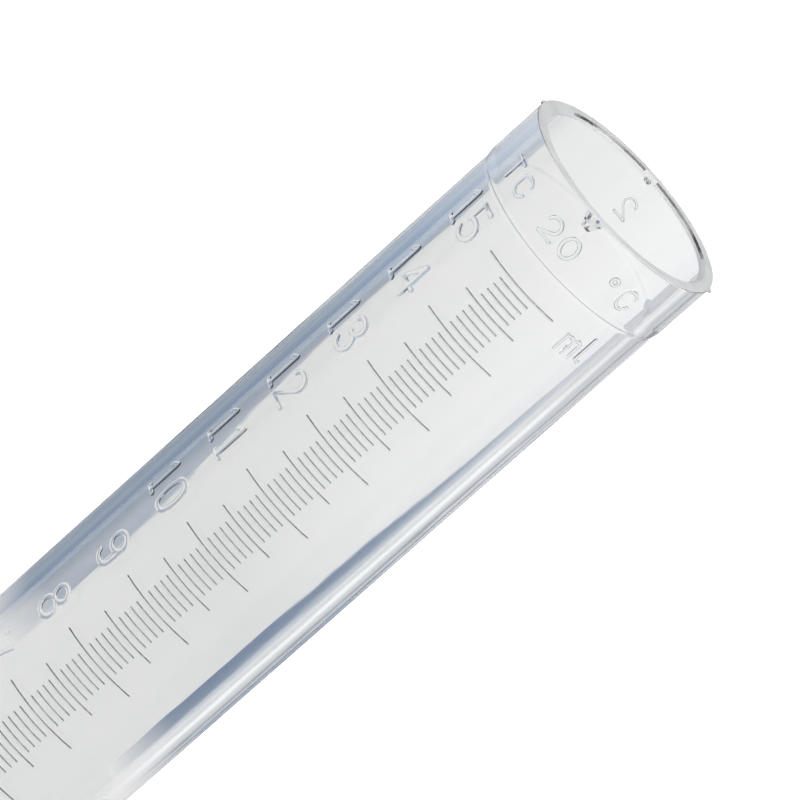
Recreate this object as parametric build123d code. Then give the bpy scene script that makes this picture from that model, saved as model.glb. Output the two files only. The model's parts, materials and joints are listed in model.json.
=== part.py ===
from build123d import *
import os
from math import acos, atan2, cos, degrees, hypot, pi, radians, sin

# A clear moulded 15 ml test tube, 17 x 100 mm, with a raised 0.1 ml scale.
# Frame: +Z along the tube towards its mouth, origin at the lowest point of the round
# bottom, scale facing -Y. Azimuth is measured from -Y towards +X, so it runs to the
# right for somebody who reads the scale. All sizes are in millimetres.

# Driving dimensions: the tube
OVERALL_LENGTH = 100.0
COLLAR_RADIUS = 8.5
BODY_RADIUS = 8.4
COLLAR_HEIGHT = 5.0
BORE_RADIUS = 7.36
BOTTOM_THICKNESS = 2.0
LIP_CHAMFER = 0.29

# Driving dimensions: the scale
FULL_SCALE_ML = 15
STEPS_PER_ML = 10
LINE_WIDTH = 0.17
LINE_BEVEL = 0.05
LINE_HEIGHT = 0.12
LONG_LINE_HALF_ANGLE = 22.4
HALF_LINE_HALF_ANGLE = 16.8
SHORT_LINE_HALF_ANGLE = 9.8

# Driving dimensions: raised lettering
NUMERAL_SIZE = (1.85, 3.2)
NUMERAL_STROKE = 0.45
NUMERAL_HEIGHT = 0.08
UNITS_AZIMUTH = -39.4
TENS_AZIMUTH = -51.8
LETTER_HEIGHT = 0.08
COLLAR_TEXT_SIZE = (1.45, 1.9)
COLLAR_TEXT_STROKE = 0.3
COLLAR_TEXT_CENTRE_AZIMUTH = -4.2
COLLAR_TEXT_PITCH = 12.4
COLLAR_TEXT_BELOW_RIM = 2.9
UNIT_M_SIZE = (1.7, 1.65)
UNIT_L_SIZE = (0.95, 2.45)
UNIT_STROKE = 0.32
UNIT_M_AZIMUTH = 37.2
UNIT_L_AZIMUTH = 48.0
UNIT_BELOW_TOP_LINE = 0.65
CAVITY_SIZE = (1.2, 1.8)
CAVITY_STROKE = 0.2
CAVITY_AZIMUTH = 176.5
CAVITY_BELOW_RIM = 3.0

# Driving dimensions: moulding marks on the collar
GATE_PROUD = 0.12
GATE_SPAN = 20.0
GATE_BREAK = 0.6
GATE_TIP = (-0.2, 0.15)
FRONT_GATE_SIZE = (1.66, 1.13)
REAR_GATE_SIZE = (1.27, 0.75)
NIB_PROUD = 0.12
NIB_SIZE = (0.3, 0.35)

COLLAR_BOTTOM = OVERALL_LENGTH - COLLAR_HEIGHT
BOWL_CENTRE = BOTTOM_THICKNESS + BORE_RADIUS
BOWL_VOLUME = 2 / 3 * pi * BORE_RADIUS**3
BORE_AREA = pi * BORE_RADIUS**2
MM3_PER_ML = 1000.0


def level(volume_ml):
    """Height of the surface of a volume held in the tube."""
    return BOWL_CENTRE + (volume_ml * MM3_PER_ML - BOWL_VOLUME) / BORE_AREA


# ---------------------------------------------------------------- the tube itself


def tube_wall():
    """Straight wall from the top of the round bottom to the collar."""
    section = Pos((BORE_RADIUS + BODY_RADIUS) / 2, (BOWL_CENTRE + COLLAR_BOTTOM) / 2) * Rectangle(
        BODY_RADIUS - BORE_RADIUS, COLLAR_BOTTOM - BOWL_CENTRE
    )
    return revolve(Plane.XZ * section, Axis.Z)


def round_bottom():
    """Bowl of the tube: a half ball outside and a smaller half ball inside."""
    inner_mid = BORE_RADIUS * sin(radians(45))
    outer_mid = BODY_RADIUS * sin(radians(45))
    outline = [
        Line((0, 0), (0, BOTTOM_THICKNESS)),
        ThreePointArc((0, BOTTOM_THICKNESS), (inner_mid, BOWL_CENTRE - inner_mid), (BORE_RADIUS, BOWL_CENTRE)),
        Line((BORE_RADIUS, BOWL_CENTRE), (BODY_RADIUS, BOWL_CENTRE)),
        Line((BODY_RADIUS, BOWL_CENTRE), (BODY_RADIUS, BODY_RADIUS)),
        ThreePointArc((BODY_RADIUS, BODY_RADIUS), (outer_mid, BODY_RADIUS - outer_mid), (0, 0)),
    ]
    return revolve(Plane.XZ * make_face(outline), Axis.Z)


def rim_collar():
    """Slightly thicker band round the mouth, bevelled on its inner edge."""
    outline = Polyline(
        (BORE_RADIUS, COLLAR_BOTTOM),
        (COLLAR_RADIUS, COLLAR_BOTTOM),
        (COLLAR_RADIUS, OVERALL_LENGTH),
        (BORE_RADIUS + LIP_CHAMFER, OVERALL_LENGTH),
        (BORE_RADIUS, OVERALL_LENGTH - LIP_CHAMFER),
        close=True,
    )
    return revolve(Plane.XZ * make_face(outline), Axis.Z)


# ---------------------------------------------------------------- the scale lines


def scale_line(volume_ml, half_angle):
    """Raised line with bevelled flanks, centred on the scale."""
    z = level(volume_ml)
    base = LINE_WIDTH / 2
    crest = base - LINE_BEVEL
    outline = Polyline(
        (BODY_RADIUS, z - base),
        (BODY_RADIUS + LINE_HEIGHT, z - crest),
        (BODY_RADIUS + LINE_HEIGHT, z + crest),
        (BODY_RADIUS, z + base),
        close=True,
    )
    line = revolve(Plane.XZ * make_face(outline), Axis.Z, 2 * half_angle)
    return Rot(0, 0, -90 - half_angle) * line


def scale_lines():
    """All lines from 1 ml to the top of the scale, sorted into three lengths."""
    major, half, minor = [], [], []
    for step in range(STEPS_PER_ML, FULL_SCALE_ML * STEPS_PER_ML + 1):
        volume = step / STEPS_PER_ML
        if step % STEPS_PER_ML == 0:
            major.append(scale_line(volume, LONG_LINE_HALF_ANGLE))
        elif step % (STEPS_PER_ML // 2) == 0:
            half.append(scale_line(volume, HALF_LINE_HALF_ANGLE))
        else:
            minor.append(scale_line(volume, SHORT_LINE_HALF_ANGLE))
    return major, half, minor


# ---------------------------------------------------------------- raised characters
# A character is drawn by its centre lines in a box of half width a and half height b,
# centred on the origin. Each function returns a list of open or closed wires.


def arc(centre, radius, start, sweep):
    """Arc from a start angle through a signed sweep, both in degrees."""
    points = [
        (centre[0] + radius * cos(radians(angle)), centre[1] + radius * sin(radians(angle)))
        for angle in (start, start + sweep / 2, start + sweep)
    ]
    return ThreePointArc(*points)


def ring(centre, radius):
    """Closed circle as two half arcs."""
    return Wire([arc(centre, radius, 0, 180), arc(centre, radius, 180, 180)])


def tangent_angle(centre, radius, point):
    """Direction from the centre to where a line from the point touches the circle."""
    dx, dy = point[0] - centre[0], point[1] - centre[1]
    return degrees(atan2(dy, dx) + acos(radius / hypot(dx, dy)))


def zero(a, b):
    """Oval of two end arcs and two flatter side arcs."""
    end = 0.8 * a
    rise = b - end
    side = (a**2 + rise**2 - end**2) / (2 * (a - end))
    lean = degrees(atan2(rise, side - a))
    return [
        Wire(
            [
                arc((a - side, 0), side, -lean, 2 * lean),
                arc((0, rise), end, lean, 180 - 2 * lean),
                arc((side - a, 0), side, 180 - lean, 2 * lean),
                arc((0, -rise), end, 180 + lean, 180 - 2 * lean),
            ]
        )
    ]


def one(a, b):
    """Upright with a flag and a foot."""
    return [
        Wire(Polyline((-0.65 * a, b - 0.55 * a), (0, b), (0, -b)).edges()),
        Wire([Line((-0.6 * a, -b), (0.6 * a, -b))]),
    ]


def two(a, b):
    """Hook, slope and base."""
    centre = (0, b - a)
    end = tangent_angle(centre, a, (-a, -b))
    hook = arc(centre, a, 165, end - 165)
    return [Wire([hook, Line(hook @ 1, (-a, -b)), Line((-a, -b), (a, -b))])]


def three(a, b):
    """Two bowls that meet at a short bar."""
    upper = 0.465 * b
    lower = b - upper
    waist = b - 2 * upper
    return [
        Wire([arc((0, b - upper), upper, 150, -240)]),
        Wire([arc((0, lower - b), lower, 90, -240)]),
        Wire([Line((-0.25 * a, waist), (0, waist))]),
    ]


def four(a, b):
    """Slope, bar and stem, closed at the top."""
    stem, bar = 0.35 * a, -0.33 * b
    return [
        Wire(Polyline((stem, b), (-a, bar), (a, bar)).edges()),
        Wire([Line((stem, b), (stem, -b))]),
    ]


def five(a, b):
    """Bar, short stem and a bowl."""
    radius = 0.57 * b
    bowl = arc((0, radius - b), radius, 138, -288)
    top_left = (-0.78 * a, b)
    return [Wire([Line((0.85 * a, b), top_left), Line(top_left, bowl @ 0), bowl])]


def six(a, b):
    """A nine turned half round."""
    return [wire.rotate(Axis.Z, 180) for wire in nine(a, b)]


def seven(a, b):
    """Bar and slope."""
    return [Wire(Polyline((-a, b), (a, b), (-0.35 * a, -b)).edges())]


def eight(a, b):
    """Two rings, the upper one smaller."""
    upper = 0.46 * b
    lower = b - upper
    return [ring((0, b - upper), upper), ring((0, lower - b), lower)]


def nine(a, b):
    """Ring with a tail that curls round below it."""
    return [
        ring((0, b - a), a),
        Wire([Line((a, b - a), (a, a - b)), arc((0, a - b), a, 0, -160)]),
    ]


def letter_t(a, b):
    """Bar on a stem."""
    return [Wire([Line((-a, b), (a, b))]), Wire([Line((0, b), (0, -b))])]


def letter_c(a, b):
    """Open round letter."""
    upper = arc((0, b - a), a, 20, 160)
    lower = arc((0, a - b), a, 180, 160)
    return [Wire([upper, Line(upper @ 1, lower @ 0), lower])]


def degree_sign(a, b):
    """Small raised ring beside the letter it belongs to."""
    radius = 0.45 * a
    return [ring((0.3 * a, b - radius), radius)]


def letter_m(a, b):
    """Two arches on three legs."""
    radius = a / 2
    shoulder = b - radius
    return [
        Wire([Line((-a, b), (-a, -b))]),
        Wire([arc((-radius, shoulder), radius, 180, -180), Line((0, shoulder), (0, -b))]),
        Wire([arc((radius, shoulder), radius, 180, -180), Line((a, shoulder), (a, -b))]),
    ]


def letter_l(a, b):
    """Stem with a hooked foot."""
    foot = arc((0, a - b), a, 180, 110)
    return [Wire([Line((-a, b), foot @ 0), foot])]


DIGITS = [zero, one, two, three, four, five, six, seven, eight, nine]


def thicken(wire, stroke):
    """Give a centre line its stroke width, with round ends."""
    if wire.is_closed:
        outer, inner = wire.offset_2d(stroke / 2), wire.offset_2d(-stroke / 2)
        return Face(outer, [inner])
    return Face(wire.offset_2d(stroke / 2))


def raised(character, size, stroke, azimuth, z, surface_radius, relief):
    """One character standing on a round wall, reading upright from outside."""
    half_width, half_height = (size[0] - stroke) / 2, (size[1] - stroke) / 2
    direction = radians(azimuth)
    plane = Plane(
        origin=(0, 0, z),
        x_dir=(cos(direction), sin(direction), 0),
        z_dir=(sin(direction), -cos(direction), 0),
    )
    flat = Sketch() + [thicken(wire, stroke) for wire in character(half_width, half_height)]
    prism = extrude(plane * flat, surface_radius + 2 * relief)
    skin = Cylinder(surface_radius + relief, 2 * size[1]) - Cylinder(surface_radius, 2 * size[1])
    return prism & (Pos(0, 0, z) * skin)


def numeral(value):
    """The number that stands to the left of one long line."""
    z = level(value)
    places = [(value % 10, UNITS_AZIMUTH)]
    if value >= 10:
        places.append((value // 10, TENS_AZIMUTH))
    return [
        raised(DIGITS[digit], NUMERAL_SIZE, NUMERAL_STROKE, azimuth, z, BODY_RADIUS, NUMERAL_HEIGHT)
        for digit, azimuth in places
    ]


def unit_mark():
    """The letters ml, to the right of the top line."""
    m_z = level(FULL_SCALE_ML) - UNIT_BELOW_TOP_LINE
    l_z = m_z + (UNIT_L_SIZE[1] - UNIT_M_SIZE[1]) / 2
    return [
        raised(letter_m, UNIT_M_SIZE, UNIT_STROKE, UNIT_M_AZIMUTH, m_z, BODY_RADIUS, LETTER_HEIGHT),
        raised(letter_l, UNIT_L_SIZE, UNIT_STROKE, UNIT_L_AZIMUTH, l_z, BODY_RADIUS, LETTER_HEIGHT),
    ]


def collar_marking():
    """Calibration mark TC 20 degrees C, raised round the front of the collar."""
    text = [letter_t, letter_c, None, two, zero, None, degree_sign, letter_c]
    z = OVERALL_LENGTH - COLLAR_TEXT_BELOW_RIM
    first = COLLAR_TEXT_CENTRE_AZIMUTH - COLLAR_TEXT_PITCH * (len(text) - 1) / 2
    return [
        raised(
            character,
            COLLAR_TEXT_SIZE,
            COLLAR_TEXT_STROKE,
            first + index * COLLAR_TEXT_PITCH,
            z,
            COLLAR_RADIUS,
            LETTER_HEIGHT,
        )
        for index, character in enumerate(text)
        if character
    ]


def cavity_number():
    """Mould cavity number on the back of the collar."""
    z = OVERALL_LENGTH - CAVITY_BELOW_RIM
    return raised(two, CAVITY_SIZE, CAVITY_STROKE, CAVITY_AZIMUTH, z, COLLAR_RADIUS, LETTER_HEIGHT)


# ---------------------------------------------------------------- moulding marks


def gate_scar(size, azimuth):
    """Sheared gate: a low faceted wedge that narrows downwards from the rim edge."""
    width, height = size
    tip_left, tip_right = GATE_TIP[0] * width, GATE_TIP[1] * width
    profile = Polyline(
        (COLLAR_RADIUS, OVERALL_LENGTH),
        (COLLAR_RADIUS + GATE_PROUD, OVERALL_LENGTH),
        (COLLAR_RADIUS + GATE_BREAK * GATE_PROUD, OVERALL_LENGTH - GATE_BREAK * height),
        (COLLAR_RADIUS, OVERALL_LENGTH - height),
        close=True,
    )
    wedge = Rot(0, 0, -90 - GATE_SPAN / 2) * revolve(Plane.XZ * make_face(profile), Axis.Z, GATE_SPAN)
    outline = Polyline(
        (-width / 2, 0), (width / 2, 0), (tip_right, -height), (tip_left, -height), close=True
    )
    front = Plane(origin=(0, 0, OVERALL_LENGTH), x_dir=(1, 0, 0), z_dir=(0, -1, 0))
    prism = extrude(front * make_face(outline), COLLAR_RADIUS + 2 * GATE_PROUD)
    return Rot(0, 0, azimuth) * (wedge & prism)


def parting_nib(azimuth):
    """Tiny ridge where the mould halves met, at the top of the collar."""
    width, height = NIB_SIZE
    half_angle = degrees(width / 2 / COLLAR_RADIUS)
    profile = Polyline(
        (COLLAR_RADIUS, OVERALL_LENGTH),
        (COLLAR_RADIUS + NIB_PROUD, OVERALL_LENGTH),
        (COLLAR_RADIUS, OVERALL_LENGTH - height),
        close=True,
    )
    nib = revolve(Plane.XZ * make_face(profile), Axis.Z, 2 * half_angle)
    return Rot(0, 0, azimuth - 90 - half_angle) * nib


# ---------------------------------------------------------------- write the parts


def main():
    major, half, minor = scale_lines()
    parts = {
        "tube_wall": [tube_wall()],
        "round_bottom": [round_bottom()],
        "rim_collar": [rim_collar()],
        "gate_vestiges": [gate_scar(FRONT_GATE_SIZE, 0), gate_scar(REAR_GATE_SIZE, 180)],
        "parting_nibs": [parting_nib(-90), parting_nib(90)],
        "major_graduations": major,
        "half_graduations": half,
        "minor_graduations": minor,
        "unit_mark_ml": unit_mark(),
        "collar_marking": collar_marking(),
        "cavity_number": [cavity_number()],
    }
    for value in range(1, FULL_SCALE_ML + 1):
        parts[f"numeral_{value:02d}"] = numeral(value)

    os.makedirs("parts", exist_ok=True)
    for name, shapes in parts.items():
        solids = [solid for shape in shapes for solid in shape.solids()]
        whole = Compound(solids) if len(solids) > 1 else solids[0]
        export_step(whole, f"parts/{name}.step")


main()
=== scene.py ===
import json
import math
import random

import bmesh
import bpy
from mathutils import Matrix, Vector

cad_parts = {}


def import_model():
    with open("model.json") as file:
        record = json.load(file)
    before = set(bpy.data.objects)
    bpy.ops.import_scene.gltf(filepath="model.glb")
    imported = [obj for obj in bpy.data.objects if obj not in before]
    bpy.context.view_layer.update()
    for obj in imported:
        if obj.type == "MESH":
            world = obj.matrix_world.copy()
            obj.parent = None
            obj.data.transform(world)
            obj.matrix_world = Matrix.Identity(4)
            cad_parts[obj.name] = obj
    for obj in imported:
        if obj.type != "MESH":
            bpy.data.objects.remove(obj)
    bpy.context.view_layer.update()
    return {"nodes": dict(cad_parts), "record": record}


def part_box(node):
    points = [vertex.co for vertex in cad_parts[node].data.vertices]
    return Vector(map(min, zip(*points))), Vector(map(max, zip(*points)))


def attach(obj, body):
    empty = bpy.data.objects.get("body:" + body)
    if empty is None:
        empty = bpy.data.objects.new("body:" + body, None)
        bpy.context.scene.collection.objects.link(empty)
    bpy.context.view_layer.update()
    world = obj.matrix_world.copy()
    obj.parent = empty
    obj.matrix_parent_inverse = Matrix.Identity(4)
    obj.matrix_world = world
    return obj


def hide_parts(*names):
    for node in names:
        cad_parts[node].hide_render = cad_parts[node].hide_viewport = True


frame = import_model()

# A clear moulded test tube: the mouth is up, the scale faces -Y and +X is to the right
# of somebody who reads it. Azimuths are in degrees from -Y towards +X. The moulding is
# built in millimetres and scaled to metres at the end. The stage's sizes are in metres
# and the camera's in millimetres.

# ------------------------------------------------------------------ sizes from the frame

MM = 1000.0
CUBIC_MM_PER_ML = 1000.0
ROOT = "root"


def mount(name):
    return next(m for m in frame["record"]["mounts"] if m["name"] == name)


def top_of(node):
    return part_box(node)[1][2] * MM


def bottom_of(node):
    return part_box(node)[0][2] * MM


BORE_RADIUS = mount("mouth_bore")["dims"]["r_mm"]
BODY_RADIUS = mount("outer_wall")["dims"]["r_mm"]
COLLAR_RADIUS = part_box("rim_collar")[1][0] * MM
RIM = top_of("rim_collar")
COLLAR_BOTTOM = bottom_of("rim_collar")
BOWL_CENTRE = bottom_of("tube_wall")
LIP_CHAMFER = RIM - BOWL_CENTRE - mount("mouth_bore")["dims"]["length_mm"]
COLLAR_TEXT_Z = (top_of("collar_marking") + bottom_of("collar_marking")) / 2
CAVITY_Z = (top_of("cavity_number") + bottom_of("cavity_number")) / 2

# ------------------------------------------------------------------ the scale and lettering

FULL_SCALE_ML = 15
STEPS_PER_ML = 10
LINE_WIDTH = 0.17
LINE_HEIGHT = 0.12
LONG_LINE_HALF_ANGLE = 22.4
HALF_LINE_HALF_ANGLE = 16.8
SHORT_LINE_HALF_ANGLE = 9.8

NUMERAL_SIZE = (1.85, 3.2)
NUMERAL_STROKE = 0.45
NUMERAL_HEIGHT = 0.06
UNITS_AZIMUTH = -39.4
TENS_AZIMUTH = -51.8
LETTER_HEIGHT = 0.06
COLLAR_TEXT_SIZE = (1.45, 1.9)
COLLAR_TEXT_STROKE = 0.3
COLLAR_TEXT_CENTRE_AZIMUTH = -4.2
COLLAR_TEXT_PITCH = 12.4
UNIT_M_SIZE = (1.7, 1.65)
UNIT_L_SIZE = (0.95, 2.45)
UNIT_STROKE = 0.32
UNIT_M_AZIMUTH = 37.2
UNIT_L_AZIMUTH = 48.0
UNIT_RISE = -0.65
CAVITY_SIZE = (1.2, 1.8)
CAVITY_STROKE = 0.2
CAVITY_AZIMUTH = 176.5

# ------------------------------------------------------------------ flanks of raised marks
# A flank rises in the given width; its profile pairs a relative distance in from the
# foot with a relative height. Roots reach into the wall, so that marks and wall unite.

LINE_FLANK = 0.1
CHARACTER_FLANK = 0.18
FLANK_PROFILE = [(0.0, 0.0), (0.15, 0.3), (0.38, 0.68), (0.68, 0.94), (1.0, 1.0)]
CAP_ANGLES = (22.5, 45.0, 67.5, 84.0)
ROOT_DEPTH = 0.12

# ------------------------------------------------------------------ moulding marks
# Sizes are width and height; a tip is where the lower edge starts and ends, as parts of
# the width from the middle; a grid is rows and columns of points.

GATE_PROUD = 0.25
GATE_BELOW_RIM = 0.05
FRONT_GATE_SIZE = (1.66, 1.13)
REAR_GATE_SIZE = (1.27, 0.75)
GATE_TIP = (-0.2, 0.15)
GATE_GRID = (6, 8)
GATE_RELIEF = (0.1, 1.0)
GATE_EDGE_RELIEF = 0.3
NIB_SIZE = (0.3, 0.35)
NIB_GRID = (3, 3)
NIB_RISE = 0.1
MARKS_SEED = 11

# ------------------------------------------------------------------ the wall
# The step under the collar is a smooth taper, and its steps are relative places along it.
# The bevel inside the lip ends that little extra below its chamfer, in a soft bend.

RIM_ROUND = 0.12
LIP_ROUND = 0.06
BEVEL_ROUND = 0.12
BEVEL_EXTRA = 0.05
COLLAR_TAPER = 0.65
COLLAR_STEPS = (0.0, 0.12, 0.24, 0.36, 0.46, 0.54, 0.64, 0.76, 0.88, 1.0)

# ------------------------------------------------------------------ fineness of the mesh
# Straight runs of the profile longer than LONG_RUN get a point this margin from each end.

SEGMENTS = 320
BOWL_STEPS = 40
RIM_STEPS = 5
LIP_STEPS = 3
LONG_RUN = 1.0
RUN_MARGIN = 0.04
ARC_STEP = 12.0
SHARP_ANGLE = 20.0

# ------------------------------------------------------------------ where each material goes
# UPWARD and GATE_SHADE are limits on how far a face looks up or outwards, 0 to 1. A face
# this PROUD of the collar is on a moulding mark. A reach is a range of distances from the
# middle, sideways.

# Painted shade goes on the scale lines' upper flanks, a strip of the collar step at the front, the front
# gate's tilted facets, the left nib and the top of the lip's bevel at the back.
UPWARD = 0.3
PROUD = 0.02
SATIN_DEPTH = 0.05
GATE_SHADE = 0.82
GATE_HALF_ANGLE = 7.0
NIB_HALF_ANGLE = math.degrees(NIB_SIZE[0] / COLLAR_RADIUS)
LIP_LINE_DEPTH = 0.14
LIP_LINE_REACH = (2.5, 6.6)
COLLAR_LINE = 0.03
COLLAR_LINE_HALF_ANGLE = 62
SCALE_HALF_ANGLE = LONG_LINE_HALF_ANGLE + 1


def level(volume_ml):
    """Height of the surface of a volume held in the tube."""
    bowl = 2 / 3 * math.pi * BORE_RADIUS**3
    return BOWL_CENTRE + (volume_ml * CUBIC_MM_PER_ML - bowl) / (math.pi * BORE_RADIUS**2)


# ------------------------------------------------------------------ centre lines
# A character is a list of (points, closed) strokes in a box of half width a and half
# height b about its own centre. Corners split a character into smooth strokes.


def arc(centre, radius, start, sweep, count=None):
    """Points along an arc from a start angle through a signed sweep, in degrees."""
    count = count or max(2, math.ceil(abs(sweep) / ARC_STEP))
    angles = [math.radians(start + sweep * i / count) for i in range(count + 1)]
    return [(centre[0] + radius * math.cos(t), centre[1] + radius * math.sin(t)) for t in angles]


def ring(centre, radius):
    return arc(centre, radius, 0, 360)[:-1], True


def straight(*points):
    """Separate straight strokes through the points."""
    return [([start, end], False) for start, end in zip(points, points[1:])]


def tangent_angle(centre, radius, point):
    """Direction from the centre to where a line from the point touches the circle."""
    dx, dy = point[0] - centre[0], point[1] - centre[1]
    return math.degrees(math.atan2(dy, dx) + math.acos(radius / math.hypot(dx, dy)))


def zero(a, b):
    end = 0.8 * a
    rise = b - end
    side = (a**2 + rise**2 - end**2) / (2 * (a - end))
    lean = math.degrees(math.atan2(rise, side - a))
    points = arc((a - side, 0), side, -lean, 2 * lean)[:-1]
    points += arc((0, rise), end, lean, 180 - 2 * lean)[:-1]
    points += arc((side - a, 0), side, 180 - lean, 2 * lean)[:-1]
    points += arc((0, -rise), end, 180 + lean, 180 - 2 * lean)[:-1]
    return [(points, True)]


def one(a, b):
    return straight((-0.65 * a, b - 0.55 * a), (0, b), (0, -b)) + straight((-0.6 * a, -b), (0.6 * a, -b))


def two(a, b):
    centre = (0, b - a)
    hook = arc(centre, a, 165, tangent_angle(centre, a, (-a, -b)) - 165)
    return [(hook + [(-a, -b)], False)] + straight((-a, -b), (a, -b))


def three(a, b):
    upper = 0.465 * b
    lower = b - upper
    waist = b - 2 * upper
    bowls = [arc((0, b - upper), upper, 150, -240), arc((0, lower - b), lower, 90, -240)]
    return [(points, False) for points in bowls] + straight((-0.25 * a, waist), (0, waist))


def four(a, b):
    stem, bar = 0.35 * a, -0.33 * b
    return straight((stem, b), (-a, bar), (a, bar)) + straight((stem, b), (stem, -b))


def five(a, b):
    radius = 0.57 * b
    bowl = arc((0, radius - b), radius, 138, -288)
    top_left = (-0.78 * a, b)
    return straight((0.85 * a, b), top_left, bowl[0]) + [(bowl, False)]


def six(a, b):
    return [([(-x, -y) for x, y in points], closed) for points, closed in nine(a, b)]


def seven(a, b):
    return straight((-a, b), (a, b), (-0.35 * a, -b))


def eight(a, b):
    upper = 0.46 * b
    lower = b - upper
    return [ring((0, b - upper), upper), ring((0, lower - b), lower)]


def nine(a, b):
    return [ring((0, b - a), a), ([(a, b - a)] + arc((0, a - b), a, 0, -160), False)]


def letter_t(a, b):
    return straight((-a, b), (a, b)) + straight((0, b), (0, -b))


def letter_c(a, b):
    return [(arc((0, b - a), a, 20, 160) + arc((0, a - b), a, 180, 160), False)]


def degree_sign(a, b):
    radius = 0.45 * a
    return [ring((0.3 * a, b - radius), radius)]


def letter_m(a, b):
    radius = a / 2
    shoulder = b - radius
    legs = [arc((x, shoulder), radius, 180, -180) + [(x + radius, -b)] for x in (-radius, radius)]
    return straight((-a, b), (-a, -b)) + [(points, False) for points in legs]


def letter_l(a, b):
    return [([(-a, b)] + arc((0, a - b), a, 180, 110), False)]


DIGITS = [zero, one, two, three, four, five, six, seven, eight, nine]

# ------------------------------------------------------------------ mesh building


def mesh_object(name, vertices, faces):
    mesh = bpy.data.meshes.new(name)
    mesh.from_pydata(vertices, [], faces)
    bm = bmesh.new()
    bm.from_mesh(mesh)
    bmesh.ops.recalc_face_normals(bm, faces=bm.faces)
    bm.to_mesh(mesh)
    bm.free()
    obj = bpy.data.objects.new(name, mesh)
    bpy.context.scene.collection.objects.link(obj)
    return obj


def unite(base, other):
    """Boolean union of two closed meshes, kept on the first."""
    modifier = base.modifiers.new("union", "BOOLEAN")
    modifier.operation = "UNION"
    modifier.solver = "MANIFOLD"
    modifier.object = other
    graph = bpy.context.evaluated_depsgraph_get()
    united = bpy.data.meshes.new_from_object(base.evaluated_get(graph))
    base.modifiers.clear()
    base.data = united
    bpy.data.objects.remove(other)
    return base


def ridge_height(distance, flank):
    """Relative height of a ridge at a relative distance, 0 to 1, from its centre line."""
    inwards = (1 - distance) / flank
    for (t0, h0), (t1, h1) in zip(FLANK_PROFILE, FLANK_PROFILE[1:]):
        if inwards <= t1:
            return h0 + (h1 - h0) * (inwards - t0) / (t1 - t0)
    return 1.0


def across(flank):
    """Relative places across a ridge, from one foot to the other."""
    left = [-1 + t * flank for t, _ in FLANK_PROFILE]
    return left + [-t for t in reversed(left) if t < 0]


def sections(points, closed, width):
    """Centre, sideways direction, half width and offset past the end, along a stroke."""
    points = [Vector(p) for p in points]
    count = len(points)
    out = []
    for i, point in enumerate(points):
        before = points[i - 1] if closed or i else point
        after = points[(i + 1) % count] if closed or i + 1 < count else point
        along = (after - before).normalized()
        side = Vector((-along.y, along.x))
        bend = 1.0
        if before != point and after != point:
            turn = (point - before).normalized().dot((after - point).normalized())
            bend = 1 / max(0.5, math.sqrt((1 + turn) / 2))
        out.append((point, side * bend, width / 2, 0.0))
    if closed:
        return out
    half = width / 2
    for end, flip in ((0, -1), (-1, 1)):
        point, side = out[end][0], out[end][1].normalized()
        along = Vector((side.y, -side.x)) * flip
        cap = []
        for angle in CAP_ANGLES:
            past = half * math.sin(math.radians(angle))
            cap.append((point + along * past, side, half * math.cos(math.radians(angle)), past))
        out = out + cap if flip > 0 else cap[::-1] + out
    return out


def ridge(points, closed, width, height, flank_width, surface_radius, azimuth, z):
    """Rounded ridge along a stroke laid on a round wall, with its root inside the wall."""
    flank = min(1.0, flank_width / (width / 2))
    loops = []
    for centre, side, half, past in sections(points, closed, width):
        loop = []
        for t in across(flank):
            distance = min(1.0, math.hypot(t * half, past) / (width / 2))
            loop.append((centre + side * (t * half), ridge_height(distance, flank) * height))
        loop.append((centre + side * half, -ROOT_DEPTH))
        loop.append((centre - side * half, -ROOT_DEPTH))
        loops.append(loop)
    vertices = []
    for loop in loops:
        for flat, rise in loop:
            angle = math.radians(azimuth) + flat.x / surface_radius
            radius = surface_radius + rise
            vertices.append((radius * math.sin(angle), -radius * math.cos(angle), z + flat.y))
    size = len(loops[0])
    faces = []
    for i in range(len(loops) if closed else len(loops) - 1):
        j = (i + 1) % len(loops)
        for k in range(size):
            m = (k + 1) % size
            faces.append((i * size + k, i * size + m, j * size + m, j * size + k))
    if not closed:
        faces.append(tuple(range(size)))
        faces.append(tuple(range((len(loops) - 1) * size, len(loops) * size)))
    return mesh_object("ridge", vertices, faces)


def raised(character, size, stroke, height, azimuth, z, surface_radius):
    """One character: its strokes as ridges, united."""
    strokes = character((size[0] - stroke) / 2, (size[1] - stroke) / 2)
    whole = None
    for points, closed in strokes:
        part = ridge(points, closed, stroke, height, CHARACTER_FLANK, surface_radius, azimuth, z)
        whole = unite(whole, part) if whole else part
    return whole


def scale_line(volume_ml, half_angle):
    """Ridge across the scale, with a point at every wall segment."""
    steps = max(2, round(2 * half_angle * SEGMENTS / 360))
    reach = math.radians(half_angle) * BODY_RADIUS - LINE_WIDTH / 2
    points = [(reach * (2 * i / steps - 1), 0) for i in range(steps + 1)]
    return ridge(points, False, LINE_WIDTH, LINE_HEIGHT, LINE_FLANK, BODY_RADIUS, 0, level(volume_ml))


def scale_lines():
    out = []
    for step in range(STEPS_PER_ML, FULL_SCALE_ML * STEPS_PER_ML + 1):
        if step % STEPS_PER_ML == 0:
            half_angle = LONG_LINE_HALF_ANGLE
        elif step % (STEPS_PER_ML // 2) == 0:
            half_angle = HALF_LINE_HALF_ANGLE
        else:
            half_angle = SHORT_LINE_HALF_ANGLE
        out.append(scale_line(step / STEPS_PER_ML, half_angle))
    return out


def numerals():
    out = []
    for value in range(1, FULL_SCALE_ML + 1):
        places = [(value % 10, UNITS_AZIMUTH)] + ([(value // 10, TENS_AZIMUTH)] if value >= 10 else [])
        for digit, azimuth in places:
            out.append(raised(
                DIGITS[digit], NUMERAL_SIZE, NUMERAL_STROKE, NUMERAL_HEIGHT,
                azimuth, level(value), BODY_RADIUS,
            ))
    return out


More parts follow.
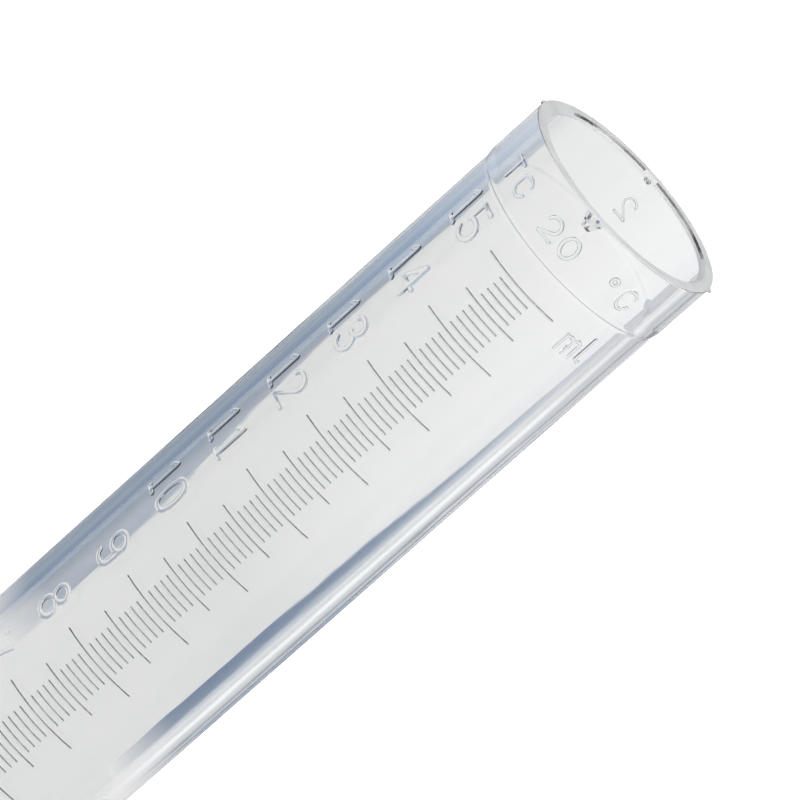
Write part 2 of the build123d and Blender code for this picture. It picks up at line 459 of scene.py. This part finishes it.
def unit_mark():
    m_z = level(FULL_SCALE_ML) + UNIT_RISE
    l_z = m_z + (UNIT_L_SIZE[1] - UNIT_M_SIZE[1]) / 2
    return [
        raised(letter_m, UNIT_M_SIZE, UNIT_STROKE, LETTER_HEIGHT, UNIT_M_AZIMUTH, m_z, BODY_RADIUS),
        raised(letter_l, UNIT_L_SIZE, UNIT_STROKE, LETTER_HEIGHT, UNIT_L_AZIMUTH, l_z, BODY_RADIUS),
    ]


def collar_marking():
    """The calibration mark TC 20 °C round the front of the collar."""
    text = [letter_t, letter_c, None, two, zero, None, degree_sign, letter_c]
    first = COLLAR_TEXT_CENTRE_AZIMUTH - COLLAR_TEXT_PITCH * (len(text) - 1) / 2
    return [
        raised(
            character, COLLAR_TEXT_SIZE, COLLAR_TEXT_STROKE, LETTER_HEIGHT,
            first + i * COLLAR_TEXT_PITCH, COLLAR_TEXT_Z, COLLAR_RADIUS,
        )
        for i, character in enumerate(text)
        if character
    ]


def cavity_number():
    return [raised(two, CAVITY_SIZE, CAVITY_STROKE, LETTER_HEIGHT, CAVITY_AZIMUTH, CAVITY_Z, COLLAR_RADIUS)]


def patch(size, tip, grid, azimuth, below_rim, draw):
    """Broken stub on the collar at the rim: rough facets, narrowing downwards."""
    width, height = size
    rows, columns = grid
    top = RIM - below_rim
    outer, root = [], []
    for row in range(rows):
        down = row / (rows - 1)
        heights = [draw.uniform(*GATE_RELIEF) for _ in range(columns)]
        if row in (0, rows - 1):
            heights = [GATE_EDGE_RELIEF * rise for rise in heights]
        left = width * (-0.5 + (tip[0] + 0.5) * down)
        right = width * (0.5 + (tip[1] - 0.5) * down)
        for column, rise in enumerate(heights):
            along = left + (right - left) * column / (columns - 1)
            angle = math.radians(azimuth) + along / COLLAR_RADIUS
            z = top - height * down
            for points, proud in ((outer, rise * GATE_PROUD), (root, -ROOT_DEPTH)):
                radius = COLLAR_RADIUS + proud
                points.append((radius * math.sin(angle), -radius * math.cos(angle), z))
    count = len(outer)
    faces = []
    for row in range(rows - 1):
        for column in range(columns - 1):
            a = row * columns + column
            square = (a, a + 1, a + columns + 1, a + columns)
            faces.append(square)
            faces.append(tuple(count + v for v in square))
    rim = list(range(columns)) + [columns * (row + 1) - 1 for row in range(1, rows)]
    rim += list(range(count - 2, count - columns - 1, -1)) + [columns * row for row in range(rows - 2, 0, -1)]
    for a, b in zip(rim, rim[1:] + rim[:1]):
        faces.append((a, b, count + b, count + a))
    return mesh_object("patch", outer + root, faces)


def moulding_marks():
    """Sheared gates at the front and the back of the rim, and nibs on the parting line."""
    draw = random.Random(MARKS_SEED)
    return [
        patch(FRONT_GATE_SIZE, GATE_TIP, GATE_GRID, 0, GATE_BELOW_RIM, draw),
        patch(REAR_GATE_SIZE, GATE_TIP, GATE_GRID, 180, GATE_BELOW_RIM, draw),
        patch(NIB_SIZE, GATE_TIP, NIB_GRID, -90, -NIB_RISE, draw),
        patch(NIB_SIZE, GATE_TIP, NIB_GRID, 90, -NIB_RISE, draw),
    ]


def join(objects):
    """One mesh of several that don't touch."""
    bm = bmesh.new()
    for obj in objects:
        bm.from_mesh(obj.data)
        bpy.data.objects.remove(obj)
    mesh = bpy.data.meshes.new("marks")
    bm.to_mesh(mesh)
    bm.free()
    joined = bpy.data.objects.new("marks", mesh)
    bpy.context.scene.collection.objects.link(joined)
    return joined


# ------------------------------------------------------------------ the moulded tube


def wall_profile():
    """Radius and height pairs from the outer pole, over the rim, to the inner pole."""
    lip = BORE_RADIUS + LIP_CHAMFER
    bevel_end = RIM - LIP_CHAMFER - BEVEL_EXTRA
    profile = arc((0, BODY_RADIUS), BODY_RADIUS, -90, 90, BOWL_STEPS)
    for t in COLLAR_STEPS:
        rise = (COLLAR_RADIUS - BODY_RADIUS) * t * t * (3 - 2 * t)
        profile.append((BODY_RADIUS + rise, COLLAR_BOTTOM + COLLAR_TAPER * (t - 0.5)))
    profile += arc((COLLAR_RADIUS - RIM_ROUND, RIM - RIM_ROUND), RIM_ROUND, 0, 90, RIM_STEPS)
    profile += arc((lip + LIP_ROUND, RIM - LIP_ROUND), LIP_ROUND, 90, 45, LIP_STEPS)
    # This point ends the painted shade line along the top of the lip's bevel.
    profile.append((lip - LIP_LINE_DEPTH, RIM - LIP_LINE_DEPTH))
    profile += arc((BORE_RADIUS + BEVEL_ROUND, bevel_end), BEVEL_ROUND, 135, 45, LIP_STEPS)
    profile += arc((0, BOWL_CENTRE), BORE_RADIUS, 0, -90, BOWL_STEPS)
    return profile


def steadied(profile):
    """Points added close to both ends of each long straight run, so that it shades flat."""
    out = profile[:1]
    for (r0, z0), (r1, z1) in zip(profile, profile[1:]):
        run = math.hypot(r1 - r0, z1 - z0)
        if run > LONG_RUN:
            margin = RUN_MARGIN / run
            out += [(r0 + (r1 - r0) * t, z0 + (z1 - z0) * t) for t in (margin, 1 - margin)]
        out.append((r1, z1))
    return out


def tube():
    """Lathe of the wall profile, closed at both poles."""
    profile = steadied(wall_profile()[1:-1])
    vertices = []
    for radius, z in profile:
        for i in range(SEGMENTS):
            angle = 2 * math.pi * i / SEGMENTS
            vertices.append((radius * math.sin(angle), -radius * math.cos(angle), z))
    faces = []
    for row in range(len(profile) - 1):
        for i in range(SEGMENTS):
            j = (i + 1) % SEGMENTS
            faces.append(
                (row * SEGMENTS + i, row * SEGMENTS + j, (row + 1) * SEGMENTS + j, (row + 1) * SEGMENTS + i)
            )
    first = len(vertices)
    vertices += [(0, 0, 0), (0, 0, BOWL_CENTRE - BORE_RADIUS)]
    last_row = (len(profile) - 1) * SEGMENTS
    for i in range(SEGMENTS):
        j = (i + 1) % SEGMENTS
        faces.append((first, j, i))
        faces.append((first + 1, last_row + i, last_row + j))
    return mesh_object("moulded_tube", vertices, faces)


def smooth_by_angle(obj, angle):
    for polygon in obj.data.polygons:
        polygon.use_smooth = True
    obj.data.set_sharp_from_angle(angle=math.radians(angle))


def moulded_tube():
    """The wall and every raised mark, united into one closed mesh."""
    marks = scale_lines() + numerals() + unit_mark() + collar_marking() + cavity_number() + moulding_marks()
    whole = unite(tube(), join(marks))
    whole.data.transform(Matrix.Scale(1 / MM, 4))
    smooth_by_angle(whole, SHARP_ANGLE)
    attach(whole, ROOT)
    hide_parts(*frame["nodes"])
    return whole


# ------------------------------------------------------------------ materials
# Noise scales are in cycles per metre and bump distances in metres.

PLASTIC_IOR = 1.585
CLEAR_TINTS = (0.972, 0.975, 0.972), (0.992, 0.992, 0.985)
SATIN_TINTS = (0.86, 0.86, 0.86), (0.95, 0.95, 0.95)
# Tints of the painted shade on the scale's flanks, the collar step, the gate and a nib.
PAINTED_SHADE_TINTS = (0.16, 0.16, 0.17), (0.30, 0.30, 0.31)
# Tints of the painted shade along the lip's bevel, from darkest to palest.
LIP_PAINTED_SHADE_TINTS = (0.02, 0.02, 0.02), (0.8, 0.8, 0.8)


def nodes_of(material):
    material.use_nodes = True
    tree = material.node_tree
    return tree, tree.nodes["Principled BSDF"]


def plastic(name, transmission):
    """Plastic that lets the given part of the light through."""
    material = bpy.data.materials.new(name)
    tree, shader = nodes_of(material)
    shader.inputs["Transmission Weight"].default_value = transmission
    shader.inputs["IOR"].default_value = PLASTIC_IOR
    return material, tree, shader


def noise(tree, scale, stretch, detail):
    """Noise in the object's own space, drawn out along the tube by the stretch."""
    place = tree.nodes.new("ShaderNodeTexCoord")
    mapping = tree.nodes.new("ShaderNodeMapping")
    mapping.inputs["Scale"].default_value = (scale, scale, scale / stretch)
    texture = tree.nodes.new("ShaderNodeTexNoise")
    texture.inputs["Scale"].default_value = 1.0
    texture.inputs["Detail"].default_value = detail
    tree.links.new(place.outputs["Object"], mapping.inputs["Vector"])
    tree.links.new(mapping.outputs["Vector"], texture.inputs["Vector"])
    return texture.outputs["Fac"]


def spread(tree, source, low, high, start=0.3, end=0.7):
    """Map a range of the source, the middle of a noise unless given, to a range of numbers."""
    node = tree.nodes.new("ShaderNodeMapRange")
    for name, value in (("From Min", start), ("From Max", end), ("To Min", low), ("To Max", high)):
        node.inputs[name].default_value = value
    tree.links.new(source, node.inputs["Value"])
    return node.outputs["Result"]


def tint(tree, source, tints, shader):
    """Blend the base colour between two tints."""
    node = tree.nodes.new("ShaderNodeMix")
    node.data_type = "RGBA"
    tree.links.new(source, node.inputs["Factor"])
    for name, value in zip("AB", tints):
        node.inputs[name].default_value = (*value, 1)
    tree.links.new(node.outputs["Result"], shader.inputs["Base Color"])


def bump(tree, source, shader, distance):
    node = tree.nodes.new("ShaderNodeBump")
    node.inputs["Strength"].default_value = 1.0
    node.inputs["Distance"].default_value = distance
    tree.links.new(source, node.inputs["Height"])
    tree.links.new(node.outputs["Normal"], shader.inputs["Normal"])


def clear_plastic():
    """Clear polycarbonate: faint flow lines along the tube, faint haze and handling wear."""
    material, tree, shader = plastic("clear_polycarbonate", 1.0)
    flow = noise(tree, scale=420, stretch=5, detail=2)
    haze = noise(tree, scale=160, stretch=1.5, detail=3)
    wear = noise(tree, scale=2600, stretch=14, detail=2)
    gloss = spread(tree, wear, low=0.012, high=0.05, start=0.55, end=0.8)
    tint(tree, spread(tree, haze, low=0, high=1), CLEAR_TINTS, shader)
    tree.links.new(gloss, shader.inputs["Roughness"])
    bump(tree, flow, shader, distance=0.000012)
    return material


def satin_rim():
    """The rim's top, left matt by the mould's parting face."""
    material, tree, shader = plastic("satin_rim", 0.3)
    grain = noise(tree, scale=5000, stretch=1, detail=3)
    patches = noise(tree, scale=700, stretch=1, detail=2)
    tint(tree, spread(tree, patches, low=0, high=1), SATIN_TINTS, shader)
    tree.links.new(spread(tree, patches, low=0.38, high=0.52), shader.inputs["Roughness"])
    bump(tree, grain, shader, distance=0.00001)
    return material


def cut_marks(tree, shader):
    """Uneven gloss of a coarsely cut mould. The noise is returned, so that it can mottle painted shade too.
    """
    cut = noise(tree, scale=3000, stretch=1, detail=2)
    tree.links.new(spread(tree, cut, low=0.15, high=0.3), shader.inputs["Roughness"])
    return cut


def painted_shade_material():
    """Painted shade: plastic tinted dark, mottled and unevenly glossy, on the scale, collar step, gate and a
    nib.
    """
    material, tree, shader = plastic("scale_line_flank", 1.0)
    cut = cut_marks(tree, shader)
    tint(tree, spread(tree, cut, low=0, high=1), PAINTED_SHADE_TINTS, shader)
    return material


def painted_lip_shade():
    """Painted shade along the top of the lip's bevel, darkest at the back and fading out to both sides."""
    material, tree, shader = plastic("lip_bevel", 1.0)
    shader.inputs["Specular IOR Level"].default_value = 0.15
    cut_marks(tree, shader)
    place = tree.nodes.new("ShaderNodeTexCoord")
    split = tree.nodes.new("ShaderNodeSeparateXYZ")
    sideways = tree.nodes.new("ShaderNodeMath")
    sideways.operation = "ABSOLUTE"
    tree.links.new(place.outputs["Object"], split.inputs["Vector"])
    tree.links.new(split.outputs["X"], sideways.inputs[0])
    start, end = (reach / MM for reach in LIP_LINE_REACH)
    tint(tree, spread(tree, sideways.outputs["Value"], 0, 1, start, end), LIP_PAINTED_SHADE_TINTS, shader)
    return material


CLEAR, SATIN, PAINTED_SHADE, LIP_PAINTED_SHADE = range(4)


def material_at(centre, normal):
    """Which material a face of the tube gets, from its centre, in millimetres, and its normal."""
    radius = math.hypot(centre.x, centre.y)
    azimuth = math.degrees(math.atan2(centre.x, -centre.y))
    outwards = (normal.x * centre.x + normal.y * centre.y) / radius
    below_rim = RIM - centre.z
    upward = normal.z > UPWARD
    # The top of the lip's bevel at the back gets painted shade.
    at_back = REAR_GATE_SIZE[0] / 2 < abs(centre.x) < LIP_LINE_REACH[1] and centre.y > 0
    if at_back and outwards < -UPWARD and upward and below_rim < LIP_LINE_DEPTH:
        return LIP_PAINTED_SHADE
    # A strip of the collar step at the front gets painted shade.
    on_step = abs(centre.z - COLLAR_BOTTOM) < COLLAR_LINE and radius > BODY_RADIUS
    if on_step and abs(azimuth) < COLLAR_LINE_HALF_ANGLE:
        return PAINTED_SHADE
    if upward and below_rim < (LIP_CHAMFER if radius < COLLAR_RADIUS - RIM_ROUND else SATIN_DEPTH):
        return SATIN
    # The left nib and the front gate's tilted facets get painted shade.
    if radius > COLLAR_RADIUS + PROUD and abs(azimuth + 90) < NIB_HALF_ANGLE:
        return PAINTED_SHADE
    if radius > COLLAR_RADIUS + PROUD and abs(azimuth) < GATE_HALF_ANGLE and outwards < GATE_SHADE:
        return PAINTED_SHADE if 0 < below_rim - GATE_BELOW_RIM < FRONT_GATE_SIZE[1] else CLEAR
    # The scale's upward flanks get painted shade.
    on_scale = abs(azimuth) < SCALE_HALF_ANGLE and centre.z < COLLAR_BOTTOM - LINE_WIDTH
    return PAINTED_SHADE if on_scale and radius > BODY_RADIUS and upward else CLEAR


def dress(whole):
    """Satin on the rim, painted shade on the scale's upper flanks, the collar step, the broken edges and the
    lip's bevel at the back, clear on the rest.
    """
    whole.data.materials.clear()
    for material in (clear_plastic(), satin_rim(), painted_shade_material(), painted_lip_shade()):
        whole.data.materials.append(material)
    for polygon in whole.data.polygons:
        polygon.material_index = material_at(polygon.center * MM, polygon.normal)


# ------------------------------------------------------------------ floor, sky and panel
# The floor's glow, as it shows in the tube, is the sum of two parts: one rises over a
# range of X and fades out close to the tube, and one rises with distance from the tube.

FLOOR_HALF_SIZE = 4.0
FLOOR_GLOW_SIDEWAYS = (0.0, 0.14)
FLOOR_X_RANGE = (-0.05, 0.02)
FLOOR_FADE_RANGE = (0.15, 0.2)
FLOOR_GLOW_OUTWARDS = (0.0, 0.30)
FLOOR_DISTANCE_RANGE = (0.2, 0.45)
FLOOR_GLOW_TO_CAMERA = 0.7
SKY_STOPS = [(0.0, 1.0), (0.03, 0.9), (0.1, 0.22), (0.7, 0.16), (1.0, 0.3)]
SKY_TINT = (0.95, 0.98, 1.0)


def floor():
    """Pale table. Its glow rises to the right and outwards, and is even to the camera."""
    mesh = bpy.data.meshes.new("floor")
    corners = [(FLOOR_HALF_SIZE * x, FLOOR_HALF_SIZE * y, 0) for x, y in ((-1, -1), (1, -1), (1, 1), (-1, 1))]
    mesh.from_pydata(corners, [], [(0, 1, 2, 3)])
    obj = bpy.data.objects.new("floor", mesh)
    bpy.context.scene.collection.objects.link(obj)
    material = bpy.data.materials.new("pale_floor")
    tree, shader = nodes_of(material)
    shader.inputs["Base Color"].default_value = (0.9, 0.9, 0.9, 1)
    shader.inputs["Roughness"].default_value = 0.8
    shader.inputs["Emission Color"].default_value = (1, 1, 1, 1)
    place = tree.nodes.new("ShaderNodeTexCoord")
    split = tree.nodes.new("ShaderNodeSeparateXYZ")
    tree.links.new(place.outputs["Object"], split.inputs["Vector"])
    sideways = spread(tree, split.outputs["X"], *FLOOR_GLOW_SIDEWAYS, *FLOOR_X_RANGE)
    distance = tree.nodes.new("ShaderNodeVectorMath")
    distance.operation = "LENGTH"
    tree.links.new(place.outputs["Object"], distance.inputs[0])
    outwards = spread(tree, distance.outputs["Value"], *FLOOR_GLOW_OUTWARDS, *FLOOR_DISTANCE_RANGE)
    away = spread(tree, distance.outputs["Value"], 0, 1, *FLOOR_FADE_RANGE)
    total = tree.nodes.new("ShaderNodeMath")
    total.operation = "MULTIPLY_ADD"
    for part, socket in zip((sideways, away, outwards), total.inputs):
        tree.links.new(part, socket)
    path = tree.nodes.new("ShaderNodeLightPath")
    mix = tree.nodes.new("ShaderNodeMix")
    tree.links.new(path.outputs["Is Camera Ray"], mix.inputs["Factor"])
    tree.links.new(total.outputs["Value"], mix.inputs["A"])
    mix.inputs["B"].default_value = FLOOR_GLOW_TO_CAMERA
    tree.links.new(mix.outputs["Result"], shader.inputs["Emission Strength"])
    mesh.materials.append(material)


def world():
    """White to the camera and at the horizon, dim above it for gloss and refraction."""
    background = bpy.data.worlds.new("studio")
    bpy.context.scene.world = background
    background.use_nodes = True
    tree = background.node_tree
    shader = tree.nodes["Background"]
    place = tree.nodes.new("ShaderNodeTexCoord")
    split = tree.nodes.new("ShaderNodeSeparateXYZ")
    ramp = tree.nodes.new("ShaderNodeValToRGB")
    path = tree.nodes.new("ShaderNodeLightPath")
    mix = tree.nodes.new("ShaderNodeMix")
    mix.data_type = "RGBA"
    while len(ramp.color_ramp.elements) < len(SKY_STOPS):
        ramp.color_ramp.elements.new(0.5)
    for element, (position, value) in zip(ramp.color_ramp.elements, SKY_STOPS):
        element.position = position
        element.color = (*(value * part for part in SKY_TINT), 1)
    tree.links.new(place.outputs["Generated"], split.inputs["Vector"])
    tree.links.new(split.outputs["Z"], ramp.inputs["Fac"])
    tree.links.new(path.outputs["Is Camera Ray"], mix.inputs["Factor"])
    tree.links.new(ramp.outputs["Color"], mix.inputs["A"])
    mix.inputs["B"].default_value = (1, 1, 1, 1)
    tree.links.new(mix.outputs["Result"], shader.inputs["Color"])


def softbox():
    """Large panel overhead, a little to the right of the tube."""
    data = bpy.data.lights.new("softbox", "AREA")
    data.shape = "SQUARE"
    data.size = 0.7
    data.energy = 4.8
    obj = bpy.data.objects.new("softbox", data)
    place = Vector((0.15, 0.0, 0.75))
    aim = Vector((0.1, 0.05, 0.0))
    turn = (place - aim).to_track_quat("Z", "Y").to_matrix().to_4x4()
    obj.matrix_world = Matrix.Translation(place) @ turn
    bpy.context.scene.collection.objects.link(obj)


# ------------------------------------------------------------------ reflector cards
# Curved cards stand round the tube and only show in its gloss and refraction. They give
# the soft bands along both of its sides. A stop is an angle outwards from straight
# behind, in degrees, and the card's colour there.

LEFT_CARD = [
    (10, (0.32, 0.38, 0.48)), (18, (0.27, 0.33, 0.43)), (22, (0.20, 0.25, 0.33)),
    (27, (0.24, 0.29, 0.36)), (32, (0.29, 0.35, 0.42)), (39, (0.37, 0.44, 0.53)),
    (47, (0.27, 0.33, 0.42)), (57, (0.20, 0.26, 0.38)), (64, (0.28, 0.39, 0.58)),
    (70, (0.40, 0.54, 0.76)),
]
RIGHT_CARD = [
    (10, (0.06, 0.12, 0.24)), (15.5, (0.06, 0.13, 0.26)), (17.5, (0.08, 0.15, 0.28)),
    (19.5, (0.22, 0.29, 0.40)), (23, (0.54, 0.59, 0.66)), (27, (0.88, 0.91, 0.95)),
    (33, (0.88, 0.90, 0.92)), (38, (0.57, 0.60, 0.64)), (42, (0.64, 0.68, 0.72)),
    (46, (0.83, 0.85, 0.88)), (51, (1.03, 1.05, 1.06)), (57, (1.15, 1.17, 1.17)),
    (70, (1.20, 1.22, 1.20)),
]
CARD_RADIUS = 0.1
CARD_END = 70.0
CARD_STEPS = 60

# At each height: the angle of a card's inner edge, how bright the card is and how far it
# is veiled with white. At their feet the cards fade into the floor's tone.
CARD_HEIGHTS = (0.001, 0.0085, 0.019, 0.026, 0.033, 0.041, 0.048, 0.056, 0.07, 0.2)
LEFT_STARTS = (11.2, 11.6, 12.2, 13.5, 16.2, 18.3, 19.8, 20.2, 18.8, 17.5)
RIGHT_STARTS = (11.6, 11.9, 12.2, 12.5, 14.0, 15.6, 17.0, 18.0, 17.2, 16.5)
LEFT_TONES = (0.95, 0.95, 0.95, 0.95, 0.94, 0.96, 1.06, 1.2, 1.35, 1.35)
RIGHT_TONES = (1.0, 1.0, 1.0, 1.0, 1.0, 1.0, 1.0, 0.95, 0.85, 0.85)
LEFT_VEILS = (1.0, 0.0, 0.0, 0.0, 0.0, 0.0, 0.0, 0.0, 0.35, 0.5)
RIGHT_VEILS = (1.0, 0.0, 0.0, 0.0, 0.04, 0.1, 0.3, 0.5, 0.55, 0.6)
VEIL_TONE = 0.92
FOOT_TONE = 0.82
FRONT_VEIL = 0.88

# The right card is veiled near its inner edge only, and has a thin dark stripe.
RIGHT_VEIL_WIDTH = 9.0
STRIPE_ANGLES = (31.0, 31.0, 31.0, 31.0, 31.5, 32.0, 31.5, 30.0, 27.0, 27.0)
STRIPE_WIDTH = 4.6
STRIPE_DEPTH = 0.7


def card_colour(stops, angle):
    """Colour at an angle, blended between the stops on both sides of it."""
    for (a0, c0), (a1, c1) in zip(stops, stops[1:]):
        if a0 <= angle <= a1:
            t = (angle - a0) / (a1 - a0)
            return [x + (y - x) * t for x, y in zip(c0, c1)]
    return stops[-1][1]


def staged_card(name, vertices, faces, colours, material):
    """A glowing card that is only seen in gloss and refraction."""
    mesh = bpy.data.meshes.new(name)
    mesh.from_pydata(vertices, [], faces)
    layer = mesh.color_attributes.new("card", "FLOAT_COLOR", "POINT")
    for item, value in zip(layer.data, colours):
        item.color = (*value, 1)
    mesh.materials.append(material)
    obj = bpy.data.objects.new(name, mesh)
    bpy.context.scene.collection.objects.link(obj)
    obj.visible_camera = False
    obj.visible_diffuse = False
    obj.visible_shadow = False


def card(name, side, in_front, material):
    """One curved card. Its inner edge leans outwards towards the top and it pales upwards."""
    left = LEFT_CARD, LEFT_STARTS, LEFT_TONES, LEFT_VEILS
    right = RIGHT_CARD, RIGHT_STARTS, RIGHT_TONES, RIGHT_VEILS
    stops, starts, tones, veils = left if side < 0 else right
    vertices, colours = [], []
    for i in range(CARD_STEPS + 1):
        for height, start, tone, stripe, veil in zip(CARD_HEIGHTS, starts, tones, STRIPE_ANGLES, veils):
            angle = start + (CARD_END - start) * i / CARD_STEPS
            direction = math.radians(side * angle + 180 * in_front)
            vertices.append((CARD_RADIUS * math.sin(direction), CARD_RADIUS * math.cos(direction), height))
            if side > 0:
                tone *= 1 - STRIPE_DEPTH * math.exp(-(((angle - stripe) / STRIPE_WIDTH) ** 2))
            if side > 0 and height > CARD_HEIGHTS[0]:
                veil *= 1 - (angle - start) / RIGHT_VEIL_WIDTH
            veil = max(veil, FRONT_VEIL * in_front)
            white = VEIL_TONE if height > CARD_HEIGHTS[0] else FOOT_TONE
            colours.append([value * tone * (1 - veil) + white * veil for value in card_colour(stops, angle)])
    rows = len(CARD_HEIGHTS)
    faces = [
        (i * rows + k, i * rows + k + 1, (i + 1) * rows + k + 1, (i + 1) * rows + k)
        for i in range(CARD_STEPS)
        for k in range(rows - 1)
    ]
    staged_card(name, vertices, faces, colours, material)


def reflector_material():
    """Glow in the colours painted on a card's points."""
    material = bpy.data.materials.new("reflector")
    material.use_nodes = True
    tree = material.node_tree
    tree.nodes.clear()
    colour = tree.nodes.new("ShaderNodeVertexColor")
    colour.layer_name = "card"
    glow = tree.nodes.new("ShaderNodeEmission")
    output = tree.nodes.new("ShaderNodeOutputMaterial")
    tree.links.new(colour.outputs["Color"], glow.inputs["Color"])
    tree.links.new(glow.outputs["Emission"], output.inputs["Surface"])
    return material


def reflector_cards():
    """Cards to the left and right behind the tube, and paler ones in front."""
    material = reflector_material()
    for in_front in (0, 1):
        card(f"card_left_{in_front}", -1, in_front, material)
        card(f"card_right_{in_front}", 1, in_front, material)


# ------------------------------------------------------------------ camera
# It looks at a height on the tube's axis. The side step moves it and its aim to the right.

CAMERA_AZIMUTH = 1.185
CAMERA_ELEVATION = 19.358
CAMERA_ROLL = 48.3
CAMERA_DISTANCE = 457.2
CAMERA_SIDE_STEP = 0.1315
CAMERA_AIM_BELOW_RIM = 21.975
SENSOR_WIDTH = 36.0
FOCAL_LENGTHS_PER_WIDTH = 8.2828


def camera():
    """Long lens above the mouth, rolled so that the tube leans to the right."""
    azimuth, elevation = math.radians(CAMERA_AZIMUTH), math.radians(CAMERA_ELEVATION)
    roll = math.radians(CAMERA_ROLL)
    data = bpy.data.cameras.new("camera")
    data.sensor_width = SENSOR_WIDTH
    data.lens = SENSOR_WIDTH * FOCAL_LENGTHS_PER_WIDTH
    data.clip_start = 0.01
    data.clip_end = 20
    back = Vector((
        math.sin(azimuth) * math.cos(elevation), -math.cos(azimuth) * math.cos(elevation), math.sin(elevation)
    ))
    level_right = Vector((math.cos(azimuth), math.sin(azimuth), 0))
    level_up = back.cross(level_right)
    right = math.cos(roll) * level_right + math.sin(roll) * level_up
    up = back.cross(right)
    aim = Vector((0, 0, RIM - CAMERA_AIM_BELOW_RIM))
    place = aim + back * CAMERA_DISTANCE + level_right * CAMERA_SIDE_STEP
    matrix = Matrix((right, up, back)).transposed().to_4x4()
    matrix.translation = place / MM
    obj = bpy.data.objects.new("camera", data)
    obj.matrix_world = matrix
    bpy.context.scene.collection.objects.link(obj)
    bpy.context.scene.camera = obj


def look():
    scene = bpy.context.scene
    scene.view_settings.view_transform = "Standard"
    scene.cycles.max_bounces = 24
    scene.cycles.transmission_bounces = 24
    scene.cycles.glossy_bounces = 12


dress(moulded_tube())
floor()
world()
softbox()
reflector_cards()
camera()
look()
